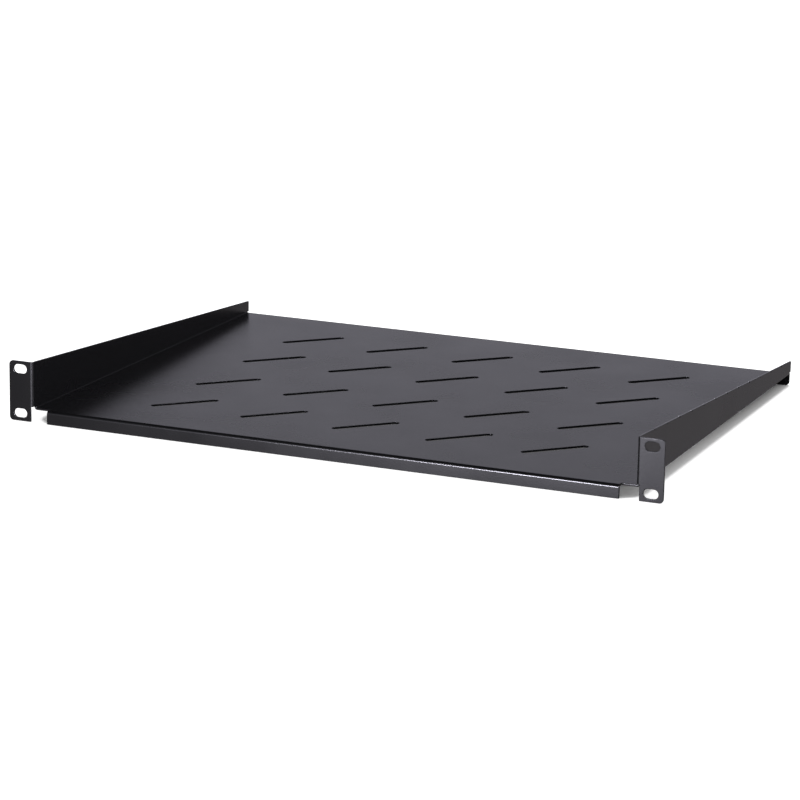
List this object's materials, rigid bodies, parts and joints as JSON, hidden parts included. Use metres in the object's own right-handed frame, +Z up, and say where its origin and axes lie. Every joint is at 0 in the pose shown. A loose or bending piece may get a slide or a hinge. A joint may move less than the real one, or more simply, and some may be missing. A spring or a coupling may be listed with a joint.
{
  "type": "rack shelf",
  "caption": "One-unit rack shelf folded from a single steel sheet, with a slotted tray, tapered side walls, slotted ears, a front lip and a rear flange.",
  "frame": {"origin": "middle of the four rack slots, on the plane where the backs of the ears meet the rack's rails", "axes": "+X to the right seen from the front, +Y into the rack, towards the shelf's rear, +Z up"},
  "size_m": [0.4826, 0.349, 0.043],
  "materials": {
    "black_coat": "satin, fine-grained black powder coat over the whole folded sheet"
  },
  "bodies": {
    "root": {"folded_shelf": "black_coat"}
  },
  "joints": []
}
